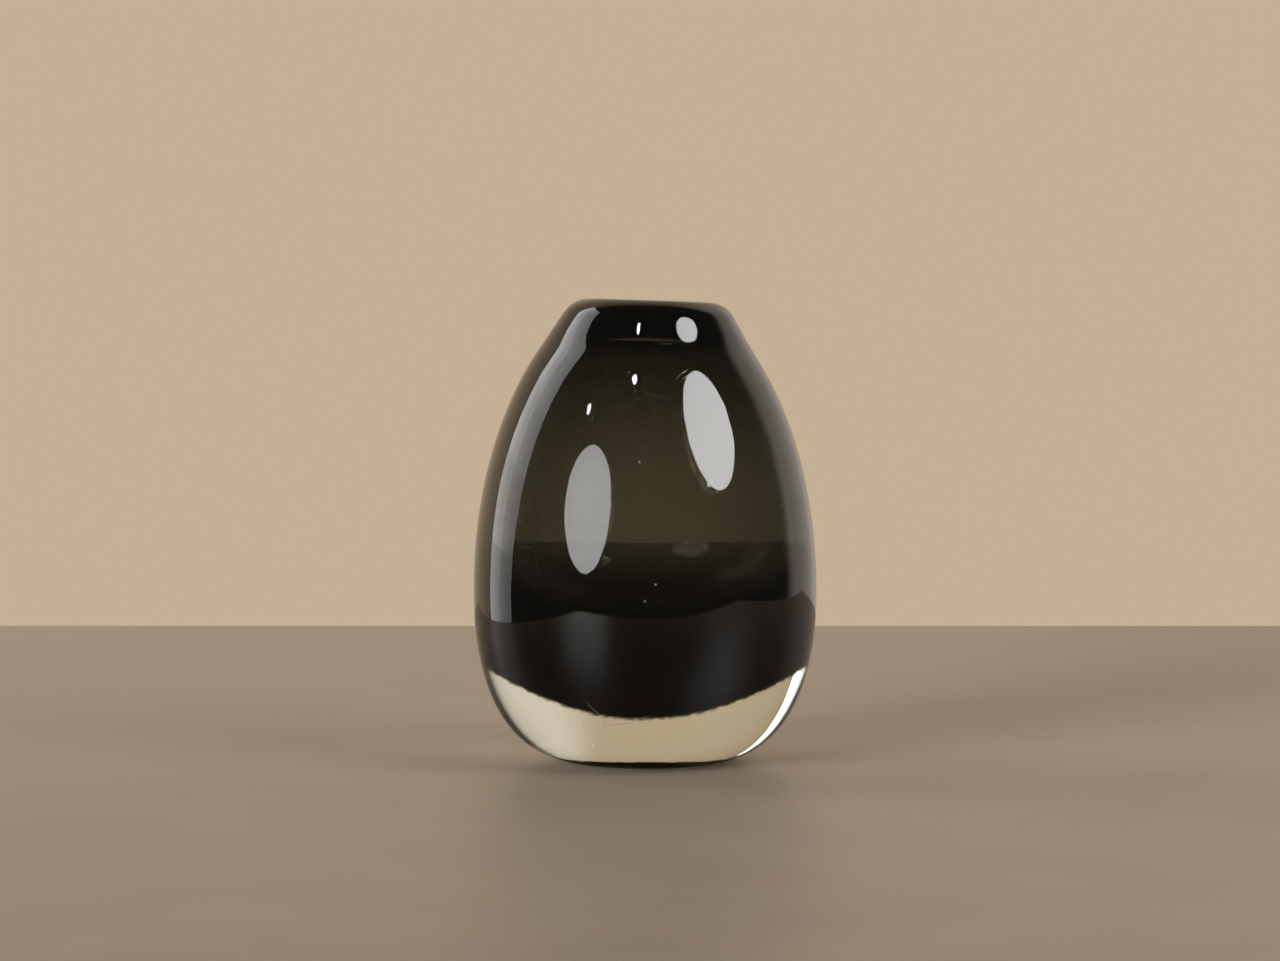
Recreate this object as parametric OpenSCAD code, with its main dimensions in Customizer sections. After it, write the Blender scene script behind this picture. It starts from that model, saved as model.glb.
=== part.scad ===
// Cased glass bud vase: a smoke-grey blown bubble inside a clear casing with a heavy clear base.
// Origin: centre of the ground foot, +Z up. Millimetres.

/* [Outline] */
// Height of the vase, from the ground foot to the top of the lip
vase_h = 157; // [130:1:190]
// Diameter at the belly, the widest level
belly_d = 117; // [96:1:142]
// Height of the belly above the foot
belly_z = 58; // [48:1:70]
// Diameter of the flat ground foot
foot_d = 49; // [40:1:66]
// Angle at which the side leaves the foot, from the horizontal
foot_angle = 7; // [4:1:20]

/* [Neck and lip] */
// Bore of the throat, where a stem goes in
throat_d = 33.5; // [26:0.5:42]
// Length of the throat, measured down from the top of the lip
throat_len = 9; // [6:0.5:12]
// Rounding of the lip on its outer side
lip_out_r = 10; // [7:0.5:12]
// Rounding of the lip on its inner side
lip_in_r = 3.5; // [2:0.5:5]
// Slope of the outside from the vertical where the lip starts to round over
collar_tilt = 32; // [26:0.5:36]
// Depth of the shoulder line below the top of the lip
shoulder_drop = 17; // [14:0.5:20]
// Width of the shallow collar between the shoulder line and the lip, seen from above
collar_w = 7.7; // [6:0.1:9.5]
// Slope of the outside from the vertical at the shoulder line
shoulder_tilt = 34; // [31:0.5:38]

/* [Glass thickness] */
// Height of the thinnest wall above the foot: both layers thicken from there up and from there down
thin_z = 79; // [72:1:92]
// Clear glass at the thinnest wall
clear_wall = 3.6; // [2.5:0.1:6]
// Clear glass at the shoulder line
clear_neck = 2.2; // [1.5:0.1:3]
// Clear glass at the top of the lip, where the casing thins out
clear_lip = 0.8; // [0.6:0.1:1.2]
// Clear glass under the bubble, measured on the axis
clear_base = 25; // [16:0.5:28]
// Smoke glass at the thinnest wall
smoke_wall = 3; // [2:0.1:4.5]
// Smoke glass at the shoulder line, where the bubble was blown least
smoke_neck = 5.1; // [4:0.1:7]
// Smoke glass under the hollow, measured on the axis
smoke_base = 9; // [6:0.5:16]
// How late both layers start to change towards the neck: 1 is evenly, more is nearer the top
thicken_power = 2.7; // [1:0.1:5]

/* [Curve fullness] */
// Pull of the lower side at the foot, as a share of the overhang from foot to belly
foot_pull = 0.83; // [0.6:0.01:1]
// Pull of the lower side at the belly, as a share of the belly height
belly_low_pull = 0.41; // [0.25:0.01:0.6]
// Pull of the upper side at the belly, as a share of the rise to the shoulder line
belly_high_pull = 0.27; // [0.2:0.01:0.5]
// Pull of the upper side at the shoulder line, as a share of the way along its slope to the belly's width
shoulder_pull = 0.82; // [0.5:0.01:0.9]
// Flatness of the bubble's bottom on the axis: 0.55 is near an ellipse
bubble_flat = 0.5; // [0.35:0.01:0.65]
// How far down the bubble's side keeps its slope, as a share of its bottom's depth
bubble_drop = 0.64; // [0.5:0.01:0.85]
// Flatness of the hollow's floor on the axis: 0.55 is near an ellipse
floor_flat = 0.59; // [0.35:0.01:0.7]
// How far down the hollow's side keeps its slope, as a share of its floor's depth
floor_drop = 0.62; // [0.5:0.01:0.85]
// Pull of the hollow's ceiling at the shoulder line, as a share of its rise to the throat
ceiling_low_pull = 0.95; // [0.5:0.05:1]
// Pull of the hollow's ceiling at the throat, as a share of the same rise
ceiling_high_pull = 0.2; // [0.1:0.05:0.6]

/* [Smoothness] */
// Steps along each long curve of the outline
curve_steps = 24; // [12:2:40]
// Steps along each short curve of the neck and lip
short_steps = 8; // [5:1:12]
// Steps round the axis
round_steps = 120; // [72:12:180]

/* [Hidden] */

// Halvings when a height is looked up on a curve: 30 of them find it to a millionth of a millimetre.
halvings = 30;

belly_r = belly_d / 2;
foot_r = foot_d / 2;
throat_r = throat_d / 2;
throat_z = vase_h - throat_len;
shoulder_z = vase_h - shoulder_drop;
shoulder_rise = shoulder_z - belly_z;

// The crown is the highest circle of the lip. Its outer arc is a quarter less the collar's slope.
crown_r = throat_r + lip_in_r;
lip_arc_z = vase_h - lip_out_r;
lip_foot = [crown_r, lip_arc_z] + lip_out_r * [cos(collar_tilt), sin(collar_tilt)];
shoulder = [lip_foot.x + collar_w, shoulder_z];
shoulder_dir = [-sin(shoulder_tilt), cos(shoulder_tilt)];
shoulder_reach = shoulder_pull * (belly_r - shoulder.x) / sin(shoulder_tilt);
collar_dir = [-sin(collar_tilt), cos(collar_tilt)];
collar_pull = norm(lip_foot - shoulder) / 3;

// Each long stretch of the outside is one Bezier curve of four points, listed upwards.
low_curve = [
    [foot_r, 0],
    [foot_r, 0] + foot_pull * (belly_r - foot_r) * [cos(foot_angle), sin(foot_angle)],
    [belly_r, belly_z * (1 - belly_low_pull)],
    [belly_r, belly_z]
];
high_curve = [
    [belly_r, belly_z],
    [belly_r, belly_z + belly_high_pull * shoulder_rise],
    shoulder - shoulder_reach * shoulder_dir,
    shoulder
];
collar_curve = [
    shoulder,
    shoulder + collar_pull * shoulder_dir,
    lip_foot - collar_pull * collar_dir,
    lip_foot
];

function bezier(c, t) =
    pow(1 - t, 3) * c[0] + 3 * t * pow(1 - t, 2) * c[1] + 3 * t * t * (1 - t) * c[2] + pow(t, 3) * c[3];
function slope(c, t) =
    pow(1 - t, 2) * (c[1] - c[0]) + 2 * t * (1 - t) * (c[2] - c[1]) + t * t * (c[3] - c[2]);
function unit(v) = v / norm(v);
function turned_in(v) = [-v.y, v.x];
function reversed(list) = [for (i = [len(list) - 1:-1:0]) list[i]];

// Points along a curve, without its first point, so that stretches join without doubles.
function walk(c, steps) = [for (i = [1:steps]) bezier(c, i / steps)];
// Points from share first of the curve to its end, moved inwards, square to the curve,
// by a thickness that goes from d0 to d1.
function walk_inside(c, steps, first, d0, d1, power) =
    [for (i = [0:steps])
        let (
            way = i / steps,
            t = first + (1 - first) * way,
            depth = d0 + (d1 - d0) * pow(way, power)
        )
        bezier(c, t) + depth * turned_in(unit(slope(c, t)))];
// The share of a rising curve at which it passes height z, found by halving.
function share_at(c, z, low = 0, high = 1, rounds = halvings) =
    rounds == 0 ? (low + high) / 2 :
    let (middle = (low + high) / 2)
    bezier(c, middle).y < z
        ? share_at(c, z, middle, high, rounds - 1)
        : share_at(c, z, low, middle, rounds - 1);
// A bowl from height z0 on the axis out and up to a rim, which it reaches along the rim's slope.
function bowl(z0, rim, rim_dir, flat, drop) = [
    [0, z0],
    [flat * rim.x, z0],
    rim - drop * (rim.y - z0) / rim_dir.y * rim_dir,
    rim
];
// Points round the lip's outer arc, moved inwards by a thickness that goes from d0 to d1.
function lip_arc(d0, d1) =
    [for (i = [1:short_steps])
        let (
            way = i / short_steps,
            angle = collar_tilt + (90 - collar_tilt) * way,
            reach = lip_out_r - d0 - (d1 - d0) * way
        )
        [crown_r, lip_arc_z] + reach * [cos(angle), sin(angle)]];
function tail(list) = [for (i = [1:len(list) - 1]) list[i]];

outside = concat(
    [[foot_r, 0]],
    walk(low_curve, curve_steps),
    walk(high_curve, curve_steps),
    walk(collar_curve, short_steps),
    lip_arc(0, 0)
);

// Where the two glasses meet: a bowl up to the thinnest wall, then a skin that follows the outside.
thin_share = share_at(high_curve, thin_z);
thin_dir = unit(slope(high_curve, thin_share));
meeting_skin = walk_inside(high_curve, curve_steps, thin_share, clear_wall, clear_neck, thicken_power);
bubble_bowl = bowl(clear_base, meeting_skin[0], thin_dir, bubble_flat, bubble_drop);
meeting = concat(
    [[0, clear_base]],
    walk(bubble_bowl, curve_steps),
    tail(meeting_skin),
    tail(walk_inside(collar_curve, short_steps, 0, clear_neck, clear_neck, 1)),
    lip_arc(clear_neck, clear_lip)
);

// The hollow: a bowl for its floor, the blown wall, a rounded ceiling into the throat, the inner lip.
floor_z = clear_base + smoke_base;
hollow_skin = walk_inside(
    high_curve, curve_steps, thin_share, clear_wall + smoke_wall, clear_neck + smoke_neck, thicken_power
);
hollow_bowl = bowl(floor_z, hollow_skin[0], thin_dir, floor_flat, floor_drop);
ceiling_start = hollow_skin[curve_steps];
ceiling_rise = throat_z - ceiling_start.y;
ceiling_curve = [
    ceiling_start,
    ceiling_start + ceiling_low_pull * ceiling_rise * shoulder_dir,
    [throat_r, throat_z - ceiling_high_pull * ceiling_rise],
    [throat_r, throat_z]
];
inner_lip = [
    for (i = [0:short_steps])
        let (angle = 180 - 90 * i / short_steps)
        [crown_r, vase_h - lip_in_r] + lip_in_r * [cos(angle), sin(angle)]
];
hollow = concat(
    [[0, floor_z]],
    walk(hollow_bowl, curve_steps),
    tail(hollow_skin),
    walk(ceiling_curve, short_steps),
    inner_lip
);

// Clear crystal gathered over the bubble: thin up the side, heavy under it, ground flat below.
module clear_casing()
    color("#c9b994")
    rotate_extrude($fn = round_steps)
    polygon(concat([[0, 0]], outside, reversed(meeting)));

// Smoke-grey bubble: hollow, thick at the bottom and the neck, its mouth inside the lip.
module smoke_bubble()
    color("#2b2a20")
    rotate_extrude($fn = round_steps)
    polygon(concat(meeting, reversed(hollow)));

clear_casing();
smoke_bubble();
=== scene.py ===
import math
import bmesh
import bpy
from mathutils import Matrix, Vector


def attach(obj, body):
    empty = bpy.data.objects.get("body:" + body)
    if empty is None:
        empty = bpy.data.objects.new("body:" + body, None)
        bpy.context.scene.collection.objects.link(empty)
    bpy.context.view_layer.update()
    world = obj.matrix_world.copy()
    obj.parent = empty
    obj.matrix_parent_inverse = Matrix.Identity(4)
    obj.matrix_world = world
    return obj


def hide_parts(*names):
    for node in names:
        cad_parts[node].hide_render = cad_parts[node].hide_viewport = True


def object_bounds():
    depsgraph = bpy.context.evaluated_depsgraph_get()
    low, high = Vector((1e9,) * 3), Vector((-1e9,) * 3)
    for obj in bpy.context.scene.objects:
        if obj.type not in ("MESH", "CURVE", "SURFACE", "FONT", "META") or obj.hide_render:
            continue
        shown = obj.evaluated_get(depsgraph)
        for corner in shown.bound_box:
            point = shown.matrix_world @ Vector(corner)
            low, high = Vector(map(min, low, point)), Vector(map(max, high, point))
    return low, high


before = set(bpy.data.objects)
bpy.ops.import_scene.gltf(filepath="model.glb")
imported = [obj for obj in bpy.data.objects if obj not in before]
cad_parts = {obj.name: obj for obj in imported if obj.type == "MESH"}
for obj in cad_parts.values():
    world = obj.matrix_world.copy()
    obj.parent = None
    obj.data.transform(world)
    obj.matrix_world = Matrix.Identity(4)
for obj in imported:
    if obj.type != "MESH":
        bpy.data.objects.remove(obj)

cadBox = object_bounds()
millimetre = 0.001
print("frame loaded, nodes:", sorted(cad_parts))


def linearColour(hexText, alpha=1.0):  # sRGB hex to linear RGBA
    channels = [int(hexText[i:i + 2], 16) / 255 for i in (0, 2, 4)]
    linear = [c / 12.92 if c <= 0.04045 else ((c + 0.055) / 1.055) ** 2.4 for c in channels]
    return (*linear, alpha)


def addNode(tree, kind, settings=None, links=None):
    node = tree.nodes.new(kind)
    for name, value in (settings or {}).items():
        if isinstance(name, str) and hasattr(node, name):
            setattr(node, name, value)
        else:
            node.inputs[name].default_value = value
    for name, source in (links or {}).items():
        tree.links.new(source, node.inputs[name])
    return node


def newMaterial(name):
    material = bpy.data.materials.new(name)
    material.use_nodes = True
    material.node_tree.nodes.clear()
    return material, material.node_tree


# The outlines of both glasses, in millimetres: radius and height from the foot.
outline = {
    "footRadius": 24.5, "footAngle": 7, "bellyZ": 58,
    "throatRadius": 16.75, "throatLength": 9, "lipOut": 10, "lipIn": 3.5,
    "collarTilt": 32, "shoulderDrop": 17, "collarWidth": 7.7, "shoulderTilt": 34,
    "footPull": 0.83, "bellyLowPull": 0.41, "bellyHighPull": 0.27, "shoulderPull": 0.82,
    "thinZ": 79, "clearWall": 3.6, "clearNeck": 2.2, "clearLip": 0.8, "clearBase": 25,
    "smokeWall": 3, "smokeNeck": 5.1, "smokeBase": 9, "thickenPower": 2.7,
    "bubbleFlat": 0.5, "bubbleDrop": 0.64, "floorFlat": 0.59, "floorDrop": 0.62,
    "ceilingLowPull": 0.95, "ceilingHighPull": 0.2,
    "sideSteps": 34, "bowlSteps": 104, "floorSteps": 48, "neckSteps": 9, "lipSteps": 12,
}


def bezierPoint(c, t):
    s = 1 - t
    return tuple(s**3 * a + 3 * s * s * t * b + 3 * s * t * t * d + t**3 * e for a, b, d, e in zip(*c))


def bezierAlong(c, t):  # unit vector along the curve
    s = 1 - t
    r, z = (s * s * (b - a) + 2 * s * t * (d - b) + t * t * (e - d) for a, b, d, e in zip(*c))
    size = math.hypot(r, z)
    return r / size, z / size


def walkCurve(c, steps, first=0.0, depthAt=None):  # leaves out the first point, so stretches join singly
    points = []
    for i in range(1, steps + 1):
        t = first + (1 - first) * i / steps
        r, z = bezierPoint(c, t)
        if depthAt:
            alongR, alongZ = bezierAlong(c, t)
            depth = depthAt(i / steps)
            r, z = r - depth * alongZ, z + depth * alongR
        points.append((r, z))
    return points


def shareAt(c, height):  # where a rising curve passes a height, found by halving
    low, high = 0.0, 1.0
    for _ in range(30):
        middle = (low + high) / 2
        low, high = (middle, high) if bezierPoint(c, middle)[1] < height else (low, middle)
    return (low + high) / 2


def bowlCurve(z0, rim, rimAlong, flat, drop):  # from the axis up to a rim, which it meets along its slope
    reach = drop * (rim[1] - z0) / rimAlong[1]
    return [(0, z0), (flat * rim[0], z0), (rim[0] - reach * rimAlong[0], rim[1] - reach * rimAlong[1]), rim]


def vaseOutlines(o):
    height = cadBox[1][2] / millimetre
    belly = (cadBox[1][0] - cadBox[0][0]) / 2 / millimetre
    shoulderZ = height - o["shoulderDrop"]
    rise = shoulderZ - o["bellyZ"]
    crown = o["throatRadius"] + o["lipIn"]
    arcZ = height - o["lipOut"]
    collar, tilt, footAngle = (math.radians(o[k]) for k in ("collarTilt", "shoulderTilt", "footAngle"))
    lipFoot = (crown + o["lipOut"] * math.cos(collar), arcZ + o["lipOut"] * math.sin(collar))
    shoulder = (lipFoot[0] + o["collarWidth"], shoulderZ)
    pull = math.dist(lipFoot, shoulder) / 3
    footReach = o["footPull"] * (belly - o["footRadius"])
    shoulderReach = o["shoulderPull"] * (belly - shoulder[0]) / math.sin(tilt)
    low = [
        (o["footRadius"], 0),
        (o["footRadius"] + footReach * math.cos(footAngle), footReach * math.sin(footAngle)),
        (belly, o["bellyZ"] * (1 - o["bellyLowPull"])),
        (belly, o["bellyZ"]),
    ]
    high = [
        (belly, o["bellyZ"]),
        (belly, o["bellyZ"] + o["bellyHighPull"] * rise),
        (shoulder[0] + shoulderReach * math.sin(tilt), shoulder[1] - shoulderReach * math.cos(tilt)),
        shoulder,
    ]
    neck = [
        shoulder,
        (shoulder[0] - pull * math.sin(tilt), shoulder[1] + pull * math.cos(tilt)),
        (lipFoot[0] + pull * math.sin(collar), lipFoot[1] - pull * math.cos(collar)),
        lipFoot,
    ]

    def lipArc(depthStart, depthEnd):
        points = []
        for i in range(1, o["lipSteps"] + 1):
            way = i / o["lipSteps"]
            angle = collar + (math.pi / 2 - collar) * way
            reach = o["lipOut"] - depthStart - (depthEnd - depthStart) * way
            points.append((crown + reach * math.cos(angle), arcZ + reach * math.sin(angle)))
        return points

    def skin(atThin, atNeck):  # a wall from its thinnest level up to the shoulder
        first = shareAt(high, o["thinZ"])
        alongR, alongZ = bezierAlong(high, first)
        r, z = bezierPoint(high, first)
        rim = (r - atThin * alongZ, z + atThin * alongR)

        def depthAt(way):
            return atThin + (atNeck - atThin) * way**o["thickenPower"]

        return rim, (alongR, alongZ), walkCurve(high, o["sideSteps"], first, depthAt)

    outside = [(o["footRadius"], 0)] + walkCurve(low, o["sideSteps"]) + walkCurve(high, o["sideSteps"])
    outside += walkCurve(neck, o["neckSteps"]) + lipArc(0, 0)

    rim, along, wall = skin(o["clearWall"], o["clearNeck"])
    bubbleBowl = bowlCurve(o["clearBase"], rim, along, o["bubbleFlat"], o["bubbleDrop"])
    meeting = [(0, o["clearBase"])] + walkCurve(bubbleBowl, o["bowlSteps"]) + wall
    meeting += walkCurve(neck, o["neckSteps"], 0, lambda way: o["clearNeck"])
    meeting += lipArc(o["clearNeck"], o["clearLip"])

    floorZ = o["clearBase"] + o["smokeBase"]
    rim, along, wall = skin(o["clearWall"] + o["smokeWall"], o["clearNeck"] + o["smokeNeck"])
    throatZ = height - o["throatLength"]
    startR, startZ = wall[-1]
    up = throatZ - startZ
    ceilingPull = o["ceilingLowPull"] * up
    ceiling = [
        wall[-1],
        (startR - ceilingPull * math.sin(tilt), startZ + ceilingPull * math.cos(tilt)),
        (o["throatRadius"], throatZ - o["ceilingHighPull"] * up),
        (o["throatRadius"], throatZ),
    ]
    hollowBowl = bowlCurve(floorZ, rim, along, o["floorFlat"], o["floorDrop"])
    hollow = [(0, floorZ)] + walkCurve(hollowBowl, o["floorSteps"]) + wall + walkCurve(ceiling, o["lipSteps"])
    for i in range(o["lipSteps"] + 1):
        angle = math.pi * (1 - 0.5 * i / o["lipSteps"])
        lipZ = height - o["lipIn"] + o["lipIn"] * math.sin(angle)
        hollow.append((crown + o["lipIn"] * math.cos(angle), lipZ))
    return outside, meeting, hollow


outside, meeting, hollow = vaseOutlines(outline)
print("outlines:", len(outside), "outside,", len(meeting), "meeting,", len(hollow), "hollow points")


def latheTree():  # Geometry Nodes: turns a profile round the axis, then gives it the hand's unevenness
    tree = bpy.data.node_groups.new("turnedGlass", "GeometryNodeTree")
    face = tree.interface
    face.new_socket("Profile", in_out="INPUT", socket_type="NodeSocketGeometry")
    face.new_socket("Round steps", in_out="INPUT", socket_type="NodeSocketInt")
    for name in ("Lip slope", "Lean", "Slope from", "Slope to", "Press", "Press from", "Press to",
                 "Ripple", "Ripple length", "Foot height", "Tool marks", "Mark size"):
        face.new_socket(name, in_out="INPUT", socket_type="NodeSocketFloat")
    face.new_socket("Material", in_out="INPUT", socket_type="NodeSocketMaterial")
    face.new_socket("Geometry", in_out="OUTPUT", socket_type="NodeSocketGeometry")

    def maths(operation, first, second):  # first and second are sockets or numbers
        given = {i: v for i, v in enumerate((first, second)) if isinstance(v, (int, float))}
        linked = {i: v for i, v in enumerate((first, second)) if not isinstance(v, (int, float))}
        return addNode(tree, "ShaderNodeMath", {"operation": operation, **given}, linked).outputs[0]

    def fromProfile(kind, value, row):
        return addNode(tree, "GeometryNodeSampleIndex", {"data_type": kind, "domain": "POINT"}, {
            "Geometry": given.outputs["Profile"], "Value": value, "Index": row}).outputs["Value"]

    def named(name, kind="FLOAT"):
        return addNode(tree, "GeometryNodeInputNamedAttribute", {"data_type": kind, "Name": name}).outputs[0]

    def turned(vector, angle):
        return addNode(tree, "ShaderNodeVectorRotate", {"rotation_type": "Z_AXIS"}, {
            "Vector": vector, "Angle": angle}).outputs[0]

    def scaled(vector, size):
        return addNode(tree, "ShaderNodeVectorMath", {"operation": "SCALE"}, {0: vector, "Scale": size}).outputs[0]

    given = addNode(tree, "NodeGroupInput")
    rows = addNode(tree, "GeometryNodeAttributeDomainSize", {}, {
        "Geometry": given.outputs["Profile"]}).outputs["Point Count"]
    columns = maths("ADD", given.outputs["Round steps"], 1.0)
    grid = addNode(tree, "GeometryNodeMeshGrid", {}, {"Vertices X": columns, "Vertices Y": rows})
    index = addNode(tree, "GeometryNodeInputIndex").outputs[0]
    column = addNode(tree, "ShaderNodeMath", {"operation": "FLOOR"}, {
        0: maths("DIVIDE", index, rows)}).outputs[0]
    row = maths("MODULO", index, rows)
    angle = maths("MULTIPLY", maths("DIVIDE", column, given.outputs["Round steps"]), 2 * math.pi)
    profilePlace = addNode(tree, "GeometryNodeInputPosition").outputs[0]
    place = turned(fromProfile("FLOAT_VECTOR", profilePlace, row), angle)
    outward = turned(fromProfile("FLOAT_VECTOR", named("outward", "FLOAT_VECTOR"), row), angle)
    placed = addNode(tree, "GeometryNodeSetPosition", {}, {
        "Geometry": grid.outputs["Mesh"], "Position": place})
    flagged = addNode(tree, "GeometryNodeStoreNamedAttribute", {
        "data_type": "FLOAT", "domain": "POINT", "Name": "fused"}, {
        "Geometry": placed.outputs[0], "Value": fromProfile("FLOAT", named("fused"), row)})

    # tool marks: small steps across the bubble's bottom, square to its surface
    markNoise = addNode(tree, "ShaderNodeTexNoise", {"Detail": 1.5, "Roughness": 0.6}, {
        "Vector": place, "Scale": maths("DIVIDE", 1.0, given.outputs["Mark size"])})
    markHeight = addNode(tree, "ShaderNodeMapRange", {"From Min": 0.48, "From Max": 0.64}, {
        "Value": markNoise.outputs[0], "To Max": given.outputs["Tool marks"]})
    markHere = maths("MULTIPLY", markHeight.outputs[0], fromProfile("FLOAT", named("marked"), row))
    # ripple: a slow noise that moves both glasses alike, and fades out at the ground foot
    tall = addNode(tree, "ShaderNodeVectorMath", {"operation": "MULTIPLY", 1: (1.0, 1.0, 0.45)}, {0: place})
    ripple = addNode(tree, "ShaderNodeTexNoise", {"Detail": 1.0}, {
        "Vector": tall.outputs[0], "Scale": maths("DIVIDE", 1.0, given.outputs["Ripple length"])})
    centred = addNode(tree, "ShaderNodeVectorMath", {"operation": "SUBTRACT", 1: (0.5, 0.5, 0.5)}, {
        0: ripple.outputs["Color"]})
    height = addNode(tree, "ShaderNodeSeparateXYZ", {}, {0: place})
    aboveFoot = addNode(tree, "ShaderNodeMapRange", {"interpolation_type": "SMOOTHSTEP"}, {
        "Value": height.outputs["Z"], "From Max": given.outputs["Foot height"]})
    rippleHere = maths("MULTIPLY", given.outputs["Ripple"], aboveFoot.outputs[0])
    # the mouth was cut and fired by hand, so the lip slopes a little
    rising = addNode(tree, "ShaderNodeMapRange", {"interpolation_type": "SMOOTHSTEP"}, {
        "Value": height.outputs["Z"],
        "From Min": given.outputs["Slope from"], "From Max": given.outputs["Slope to"]})
    slope = maths("MULTIPLY", height.outputs["X"], given.outputs["Lip slope"])
    lift = maths("MULTIPLY", slope, rising.outputs[0])
    aboveBend = maths("SUBTRACT", height.outputs["Z"], given.outputs["Slope from"])
    lean = maths("MULTIPLY", maths("MULTIPLY", aboveBend, rising.outputs[0]), given.outputs["Lean"])
    # and the collar sits a little towards the front
    pressed = addNode(tree, "ShaderNodeMapRange", {"interpolation_type": "SMOOTHSTEP"}, {
        "Value": height.outputs["Z"], "To Max": given.outputs["Press"],
        "From Min": given.outputs["Press from"], "From Max": given.outputs["Press to"]})
    liftUp = addNode(tree, "ShaderNodeCombineXYZ", {}, {"X": lean, "Y": pressed.outputs[0], "Z": lift})
    uneven = addNode(tree, "ShaderNodeVectorMath", {"operation": "ADD"}, {
        0: scaled(centred.outputs[0], rippleHere), 1: scaled(outward, markHere)})
    moveBy = addNode(tree, "ShaderNodeVectorMath", {"operation": "ADD"}, {
        0: uneven.outputs[0], 1: liftUp.outputs[0]})
    moved = addNode(tree, "GeometryNodeSetPosition", {}, {
        "Geometry": flagged.outputs[0], "Offset": moveBy.outputs[0]})
    closed = addNode(tree, "GeometryNodeMergeByDistance", {"Distance": 1e-6}, {"Geometry": moved.outputs[0]})
    smooth = addNode(tree, "GeometryNodeSetShadeSmooth", {}, {"Geometry": closed.outputs[0]})
    real = addNode(tree, "GeometryNodeRealizeInstances", {}, {"Geometry": smooth.outputs[0]})
    finished = addNode(tree, "GeometryNodeSetMaterial", {}, {
        "Geometry": real.outputs[0], "Material": given.outputs["Material"]})
    addNode(tree, "NodeGroupOutput", {}, {"Geometry": finished.outputs[0]})
    return tree


def bakedPiece(name, tree, source, values):  # runs a Geometry Nodes tree on a mesh and keeps the plain result
    maker = bpy.data.objects.new(name + "Maker", source)
    bpy.context.scene.collection.objects.link(maker)
    modifier = maker.modifiers.new("maker", "NODES")
    modifier.node_group = tree
    sockets = {i.name: i.identifier for i in tree.interface.items_tree if i.in_out == "INPUT"}
    for key, value in values.items():
        modifier[sockets[key]] = value
    maker.update_tag()
    depsgraph = bpy.context.evaluated_depsgraph_get()
    mesh = bpy.data.meshes.new_from_object(maker.evaluated_get(depsgraph), depsgraph=depsgraph)
    mesh.name = name
    bpy.data.objects.remove(maker)
    return mesh


def profileMesh(name, points, fused, marked):  # points run anticlockwise, so outward is to the right
    mesh = bpy.data.meshes.new(name)
    mesh.from_pydata([(r * millimetre, 0, z * millimetre) for r, z in points],
                     [(i, i + 1) for i in range(len(points) - 1)], [])
    outward = []
    for i in range(len(points)):
        (r0, z0), (r1, z1) = points[max(i - 1, 0)], points[min(i + 1, len(points) - 1)]
        size = math.hypot(r1 - r0, z1 - z0)
        outward += [(z1 - z0) / size, 0.0, -(r1 - r0) / size]
    mesh.attributes.new("outward", "FLOAT_VECTOR", "POINT").data.foreach_set("vector", outward)
    mesh.attributes.new("fused", "FLOAT", "POINT").data.foreach_set("value", fused)
    mesh.attributes.new("marked", "FLOAT", "POINT").data.foreach_set("value", marked)
    return mesh


def addPiece(name, mesh):
    piece = bpy.data.objects.new(name, mesh)
    bpy.context.scene.collection.objects.link(piece)
    return piece


def turnPiece(name, points, fused, marked, material):
    values = {
        "Round steps": turning["roundSteps"], "Material": material,
        "Lip slope": turning["lipSlope"], "Lean": turning["lean"],
        "Slope from": turning["slopeFrom"] * millimetre, "Slope to": cadBox[1][2],
        "Press": turning["press"] * millimetre,
        "Press from": turning["pressFrom"] * millimetre, "Press to": turning["pressTo"] * millimetre,
        "Ripple": turning["ripple"] * millimetre, "Ripple length": turning["rippleLength"] * millimetre,
        "Foot height": turning["footHeight"] * millimetre,
        "Tool marks": turning["toolMarks"] * millimetre, "Mark size": turning["markSize"] * millimetre,
    }
    mesh = bakedPiece(name, turnedGlass, profileMesh(name + "Profile", points, fused, marked), values)
    mesh.set_sharp_from_angle(angle=math.radians(turning["sharpAngle"]))
    piece = addPiece(name, mesh)
    print(name, "turned:", len(mesh.vertices), "points,", len(mesh.polygons), "faces")
    return piece


turning = {  # millimetres and degrees
    "roundSteps": 320, "sharpAngle": 14,
    "lipSlope": -0.033, "lean": 0.045, "slopeFrom": 122,
    "press": -0.8, "pressFrom": 141, "pressTo": 154,  # towards the viewer
    "ripple": 0.22, "rippleLength": 26, "footHeight": 12,
    "toolMarks": 0.8, "markSize": 1.5, "markedBelow": 46, "markFade": 6,
    "gap": 0.02,  # between the two glasses, so that their faces never lie in one plane
}
turnedGlass = latheTree()


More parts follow.
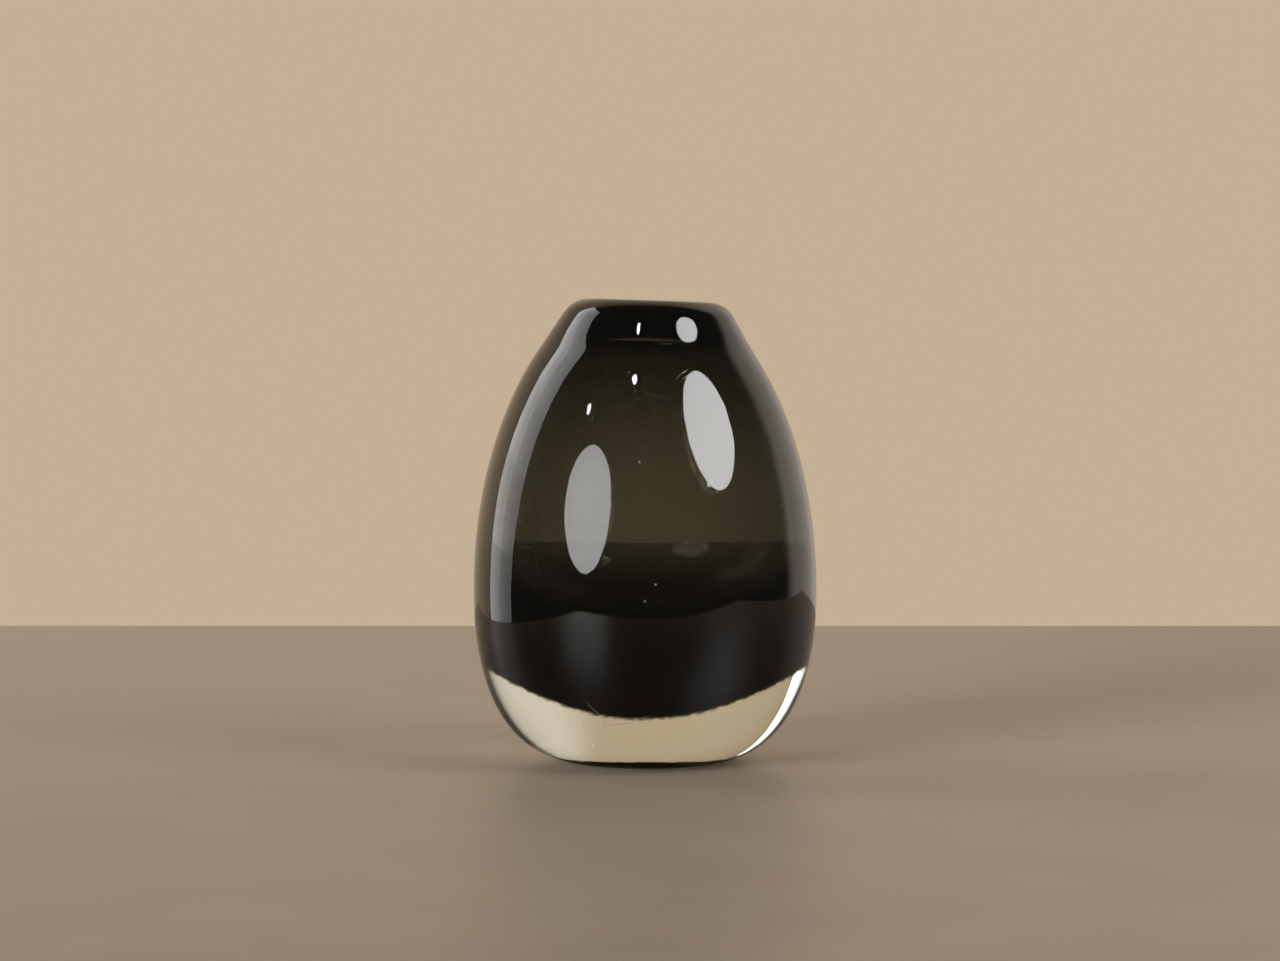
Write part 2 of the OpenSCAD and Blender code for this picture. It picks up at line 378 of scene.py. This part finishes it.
def glassMaterial(name, look):
    material, tree = newMaterial(name)
    place = addNode(tree, "ShaderNodeTexCoord").outputs["Object"]

    def noise(size, stretch=(1, 1, 1), detail=2.0, offset=0.0):  # size is its wavelength in millimetres
        scale = 1 / (size * millimetre)
        mapped = addNode(tree, "ShaderNodeMapping", {
            "Location": (offset, offset, offset), "Scale": tuple(scale * s for s in stretch)}, {"Vector": place})
        return addNode(tree, "ShaderNodeTexNoise", {"Scale": 1.0, "Detail": detail}, {
            "Vector": mapped.outputs[0]}).outputs[0]

    def ranged(value, low, high, outLow, outHigh, smooth=True):
        kind = "SMOOTHSTEP" if smooth else "LINEAR"
        return addNode(tree, "ShaderNodeMapRange", {
            "interpolation_type": kind,
            "From Min": low, "From Max": high, "To Min": outLow, "To Max": outHigh}, {
            "Value": value}).outputs[0]

    def both(operation, a, b):
        return addNode(tree, "ShaderNodeMath", {"operation": operation}, {0: a, 1: b}).outputs[0]

    warpReach = (look["warpReach"] * millimetre,) * 3
    # polish: nearly perfect, with cloudy patches where it was handled
    polish = ranged(noise(look["smudgeSize"]), 0.45, 0.75, look["roughness"], look["smudged"])
    # scratches: hairlines along the borders of large cells, only in places
    warped = addNode(tree, "ShaderNodeVectorMath", {"operation": "MULTIPLY_ADD", 1: warpReach}, {
        0: addNode(tree, "ShaderNodeTexNoise", {"Scale": look["warpScale"]}, {"Vector": place}).outputs["Color"],
        2: place})
    cells = addNode(tree, "ShaderNodeTexVoronoi", {
        "feature": "DISTANCE_TO_EDGE", "Scale": 1 / (look["scratchCell"] * millimetre)}, {
        "Vector": warped.outputs[0]}).outputs["Distance"]
    hairline = ranged(cells, 0.0, look["scratchWidth"] / look["scratchCell"], 1.0, 0.0)
    patches = ranged(noise(look["scratchPatch"], offset=7.0), 0.56, 0.66, 0.0, 1.0)
    scratch = both("MULTIPLY", hairline, patches)
    scuffed = addNode(tree, "ShaderNodeMath", {"operation": "MULTIPLY", 1: look["scratched"]}, {
        0: scratch}).outputs[0]
    rough = both("ADD", polish, scuffed)
    # the foot was ground flat and left matt
    split = addNode(tree, "ShaderNodeSeparateXYZ", {}, {0: place})
    ground = ranged(split.outputs["Z"], 0.02 * millimetre, 0.12 * millimetre, 1.0, 0.0)
    grindNoise = noise(look["grindSize"], detail=3.0)
    grind = ranged(grindNoise, 0.3, 0.7, look["footRoughness"] * 0.7, look["footRoughness"])
    roughness = both("MAXIMUM", rough, both("MULTIPLY", ground, grind))

    # relief: drawn striae round the side, orange peel from the fire, and the scratches cut into the skin
    striae = addNode(tree, "ShaderNodeBump", {"Strength": 1.0, "Distance": look["striaeDepth"] * millimetre}, {
        "Height": noise(look["striaeSize"], (1, 1, 0.06))})
    peel = addNode(tree, "ShaderNodeBump", {"Strength": 1.0, "Distance": look["peelDepth"] * millimetre}, {
        "Height": noise(look["peelSize"], offset=3.0, detail=1.0), "Normal": striae.outputs[0]})
    cut = addNode(tree, "ShaderNodeBump", {"Strength": 1.0, "Distance": -look["scratchDepth"] * millimetre}, {
        "Height": scratch, "Normal": peel.outputs[0]})
    fusedFlag = addNode(tree, "ShaderNodeAttribute", {"attribute_name": "fused"}).outputs["Fac"]
    seam = addNode(tree, "ShaderNodeMath", {"operation": "GREATER_THAN", 1: 0.99}, {
        0: fusedFlag}).outputs[0]
    # where the two glasses are fused light passes straight on; everywhere else it bends as in crystal
    bending = ranged(seam, 0.0, 1.0, look["ior"], 1.0, smooth=False)
    sheen = addNode(tree, "ShaderNodeBsdfPrincipled", {
        "Base Color": linearColour(look["surface"]), "Transmission Weight": 1.0}, {
        "IOR": bending, "Roughness": roughness, "Normal": cut.outputs[0]})
    inside = addNode(tree, "ShaderNodeVolumeAbsorption", {
        "Color": (*look["passes"], 1.0), "Density": look["density"]})
    addNode(tree, "ShaderNodeOutputMaterial", {}, {"Surface": sheen.outputs[0], "Volume": inside.outputs[0]})
    return material


# Clear casing: colourless crystal gathered over the bubble, fire-polished outside, ground flat underneath.
clearLook = {
    "surface": "ffffff", "ior": 1.5, "passes": (0.62, 0.64, 0.35), "density": 4.0,  # faintly straw
    "roughness": 0.0, "smudged": 0.03, "smudgeSize": 34,
    "striaeSize": 1.4, "striaeDepth": 0.0045, "peelSize": 9, "peelDepth": 0.004,
    "scratchCell": 17, "scratchWidth": 0.1, "scratchPatch": 30, "scratchDepth": 0.01, "scratched": 0.12,
    "warpScale": 90.0, "warpReach": 6,  # bends the scratches: swirls per metre, and millimetres
    "footRoughness": 0.45, "grindSize": 0.6,
}
clearCrystal = glassMaterial("clearCrystalFirePolished", clearLook)  # like still water with a bright skin

casingPoints = [(0, 0)] + outside + meeting[::-1]
casingFused = [0.0] * (1 + len(outside)) + [1.0] * len(meeting)


def marksOn(points):  # how strongly the tool marks show at each point of the meeting surface
    return [max(0.0, min(1.0, (turning["markedBelow"] - z) / turning["markFade"])) for r, z in points]


casingMarks = [0.0] * (1 + len(outside)) + [-m for m in marksOn(meeting)][::-1]
clearCasing = turnPiece("clearCasing", casingPoints, casingFused, casingMarks, clearCrystal)

# Seeds: round air bubbles caught in the casing. Each is a void, so its faces look into the air.
seeds = [  # azimuth and height of each, how deep under the skin and how wide, in degrees and millimetres
    {"azimuth": 23, "height": 96.5, "deep": 1.6, "wide": 1.3},
    {"azimuth": 23.6, "height": 96, "deep": 2.6, "wide": 0.7},
    {"azimuth": -2, "height": 104, "deep": 1.5, "wide": 0.5},
    {"azimuth": 3.5, "height": 64.4, "deep": 2.4, "wide": 0.6},
    {"azimuth": 0, "height": 59, "deep": 2.0, "wide": 0.5},
    {"azimuth": 118, "height": 74, "deep": 1.8, "wide": 0.8},
    {"azimuth": -140, "height": 112, "deep": 1.4, "wide": 0.5},
]


def outsideRadius(height):
    for (r0, z0), (r1, z1) in zip(outside, outside[1:]):
        if z0 <= height <= z1:
            return r0 + (r1 - r0) * (height - z0) / (z1 - z0)


def addSeeds(piece):
    work = bmesh.new()
    work.from_mesh(piece.data)
    for seed in seeds:
        radius = outsideRadius(seed["height"]) - seed["deep"]
        turn = math.radians(seed["azimuth"])
        centre = Vector((radius * math.sin(turn), -radius * math.cos(turn), seed["height"])) * millimetre
        ball = bmesh.ops.create_uvsphere(
            work, u_segments=20, v_segments=12,
            radius=seed["wide"] / 2 * millimetre, matrix=Matrix.Translation(centre))
        faces = {face for vert in ball["verts"] for face in vert.link_faces}
        for face in faces:
            face.smooth = True
        bmesh.ops.reverse_faces(work, faces=list(faces))
    work.to_mesh(piece.data)
    work.free()


addSeeds(clearCasing)
print("seeds added:", len(seeds))

# Smoke bubble: grey-olive glass, so dark that it is nearly black wherever it is thicker than a finger.
smokeLook = {
    "surface": "ffffff", "ior": 1.5, "passes": (0.12, 0.12, 0.009), "density": 455.0,
    "roughness": 0.0, "smudged": 0.02, "smudgeSize": 28,
    "striaeSize": 2.2, "striaeDepth": 0.004, "peelSize": 12, "peelDepth": 0.03,
    "scratchCell": 21, "scratchWidth": 0.12, "scratchPatch": 26, "scratchDepth": 0.02, "scratched": 0.25,
    "warpScale": 90.0, "warpReach": 6,
    "footRoughness": 0.0, "grindSize": 1.0,
}
smokeGlass = glassMaterial("smokeGlassBlown", smokeLook)  # like dark tea: brown-green thin, black thick


def insetBy(points, gap):
    moved = []
    for i in range(len(points)):
        (r0, z0), (r1, z1) = points[max(i - 1, 0)], points[min(i + 1, len(points) - 1)]
        size = math.hypot(r1 - r0, z1 - z0)
        r, z = points[i]
        moved.append((max(r - gap * (z1 - z0) / size, 0), z + gap * (r1 - r0) / size))
    moved[0] = (0, moved[0][1])
    return moved


bubbleOutside = insetBy(meeting, turning["gap"])
bubblePoints = bubbleOutside + hollow[::-1]
bubbleFused = [1.0] * len(bubbleOutside) + [0.0] * len(hollow)
bubbleMarks = marksOn(meeting) + [0.0] * len(hollow)
smokeBubble = turnPiece("smokeBubble", bubblePoints, bubbleFused, bubbleMarks, smokeGlass)

for piece, node, slot in (
        (clearCasing, "clear_casing", "clear_glass"),
        (smokeBubble, "smoke_bubble", "smoke_glass")):
    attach(piece, "root")
    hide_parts(node)

tableLook = {  # metres; the far edge of the top makes the line behind the vase
    "left": -0.36, "right": 0.75, "near": -0.40, "far": 0.535, "drop": 0.0002,
    "colour": "5f5449", "pale": "695e51", "roughness": 0.42, "grain": 0.0011, "cloud": 0.05,
    "sheen": 0.75, "sheenTint": "ffe9d2", "sheenRoughness": 0.2, "toneFrom": 0.12, "toneTo": 0.4,
}
tableMaterial, tableTree = newMaterial("honedStoneTop")  # a fine even stone that shines only at a low angle
tablePlace = addNode(tableTree, "ShaderNodeTexCoord").outputs["Object"]
tableGrain = addNode(tableTree, "ShaderNodeTexNoise", {"Scale": 1 / tableLook["grain"], "Detail": 2.0}, {
    "Vector": tablePlace}).outputs[0]
tableCloud = addNode(tableTree, "ShaderNodeTexNoise", {"Scale": 1 / tableLook["cloud"], "Detail": 3.0}, {
    "Vector": tablePlace}).outputs[0]
tableBlend = addNode(tableTree, "ShaderNodeMath", {"operation": "MULTIPLY"}, {
    0: tableGrain, 1: tableCloud}).outputs[0]
tableTone = addNode(tableTree, "ShaderNodeMapRange", {
    "From Min": tableLook["toneFrom"], "From Max": tableLook["toneTo"]}, {"Value": tableBlend}).outputs[0]
tableColour = addNode(tableTree, "ShaderNodeMix", {
    "data_type": "RGBA", 6: linearColour(tableLook["colour"]), 7: linearColour(tableLook["pale"])}, {
    "Factor": tableTone}).outputs[2]
tableSkin = addNode(tableTree, "ShaderNodeBsdfPrincipled", {
    "Roughness": tableLook["roughness"], "Sheen Weight": tableLook["sheen"],
    "Sheen Tint": linearColour(tableLook["sheenTint"]), "Sheen Roughness": tableLook["sheenRoughness"]}, {
    "Base Color": tableColour})
addNode(tableTree, "ShaderNodeOutputMaterial", {}, {"Surface": tableSkin.outputs[0]})
tableMesh = bpy.data.meshes.new("floor")
tableMesh.from_pydata([(tableLook[x], tableLook[y], -tableLook["drop"]) for x, y in (
    ("left", "near"), ("right", "near"), ("right", "far"), ("left", "far"))], [], [(0, 1, 2, 3)])
tableMesh.materials.append(tableMaterial)
floor = addPiece("floor", tableMesh)

roomLook = {  # the wall behind is lit; towards the right it turns brighter, and the side facing it is dim
    "wall": "c4b095", "bright": "e6dacd", "dark": "555049",
    "edgeFrom": 0.30, "edgeTo": 0.50, "brightFrom": 0.16, "brightTo": 0.44,
}
world = bpy.data.worlds.new("room")
bpy.context.scene.world = world
world.use_nodes = True
room = world.node_tree
room.nodes.clear()
skyPlace = addNode(room, "ShaderNodeTexCoord")
skyAxes = addNode(room, "ShaderNodeSeparateXYZ", {}, {0: skyPlace.outputs["Generated"]})
toRight = addNode(room, "ShaderNodeMapRange", {
    "interpolation_type": "SMOOTHSTEP",
    "From Min": roomLook["brightFrom"], "From Max": roomLook["brightTo"]}, {
    "Value": skyAxes.outputs["X"]})
litWall = addNode(room, "ShaderNodeMix", {
    "data_type": "RGBA", 6: linearColour(roomLook["wall"]), 7: linearColour(roomLook["bright"])}, {
    "Factor": toRight.outputs["Result"]})
toWall = addNode(room, "ShaderNodeMapRange", {
    "interpolation_type": "SMOOTHSTEP", "From Min": roomLook["edgeFrom"], "From Max": roomLook["edgeTo"]}, {
    "Value": skyAxes.outputs["Y"]})
mixRoom = addNode(room, "ShaderNodeMix", {"data_type": "RGBA", 6: linearColour(roomLook["dark"])}, {
    "Factor": toWall.outputs["Result"], 7: litWall.outputs[2]})
# what the viewer sees straight past the vase is a plain pale backdrop from every side
straight = addNode(room, "ShaderNodeLightPath").outputs["Is Camera Ray"]
backdrop = addNode(room, "ShaderNodeMix", {"data_type": "RGBA", 7: linearColour(roomLook["wall"])}, {
    "Factor": straight, 6: mixRoom.outputs[2]})
roomLight = addNode(room, "ShaderNodeBackground", {}, {"Color": backdrop.outputs[2]})
addNode(room, "ShaderNodeOutputWorld", {}, {"Surface": roomLight.outputs[0]})

lamps = {  # azimuth from the viewer's side, positive to the right, and elevation in degrees; sizes in metres
    "window": {"azimuth": -111.5, "elevation": 21, "width": 0.66, "height": 1.56,
        "panes": (3.1, 2.8, 2.2, 1.9), "rows": (0.55, 0.75, 0.95, 1.1, 1.1)},  # dimmer low and to the front
    "softboxLeft": {"azimuth": -40.5, "elevation": 16, "width": 0.76, "height": 0.70,
        "panes": (6.5,), "round": True},
    "softboxRight": {"azimuth": 57, "elevation": 35, "width": 0.82, "height": 0.80,
        "panes": (11,), "round": True},
    "ceilingLamp": {"azimuth": -12.8, "elevation": 55, "width": 0.065, "height": 0.08,
        "panes": (50,), "round": True},
    "sideLamp": {"azimuth": -54, "elevation": 40, "width": 0.06, "height": 0.08,
        "panes": (25,), "round": True},
}
lampDistance = 1.3
lampAim = Vector((0, 0, 0.08))


def addLamp(name, lamp):
    a, e = math.radians(lamp["azimuth"]), math.radians(lamp["elevation"])
    away = Vector((math.sin(a) * math.cos(e), -math.cos(a) * math.cos(e), math.sin(e)))
    place = lampAim + lampDistance * away
    facing = (lampAim - place).to_track_quat("-Z", "Y")
    rows = lamp.get("rows", (1,))
    width, height = lamp["width"] / len(lamp["panes"]), lamp["height"] / len(rows)
    for i, radiance in enumerate(lamp["panes"]):
        for j, share in enumerate(rows):
            light = bpy.data.lights.new(name, "AREA")
            light.shape = "ELLIPSE" if lamp.get("round") else "RECTANGLE"
            light.size, light.size_y = width, height
            area = width * height * (math.pi / 4 if lamp.get("round") else 1)
            light.energy = radiance * share * math.pi * area  # radiance is the power over pi times the area
            item = bpy.data.objects.new(name, light)
            across, up = (i + 0.5) * width - lamp["width"] / 2, (j + 0.5) * height - lamp["height"] / 2
            item.location = place + facing @ Vector((across, up, 0))
            item.rotation_euler = facing.to_euler()
            item.visible_camera = False
            bpy.context.scene.collection.objects.link(item)


for name, lamp in lamps.items():
    addLamp(name, lamp)
print("room and", len(lamps), "lights placed")

viewpoint = {"place": (0.0, -1.27, 0.1558), "lens": 105.0, "sensor": 36.0, "down": 2.71, "left": 0.077}
camera = bpy.data.cameras.new("camera")
camera.lens = viewpoint["lens"]
camera.sensor_width = viewpoint["sensor"]
eye = bpy.data.objects.new("camera", camera)
eye.location = viewpoint["place"]
eye.rotation_euler = (math.radians(90 - viewpoint["down"]), 0, math.radians(viewpoint["left"]))
bpy.context.scene.collection.objects.link(eye)
bpy.context.scene.camera = eye

bounces = {"max_bounces": 40, "transmission_bounces": 40, "transparent_max_bounces": 40, "glossy_bounces": 8}
scene = bpy.context.scene
scene.view_settings.view_transform = "Standard"
for name, count in bounces.items():  # light crosses many faces of glass
    setattr(scene.cycles, name, count)
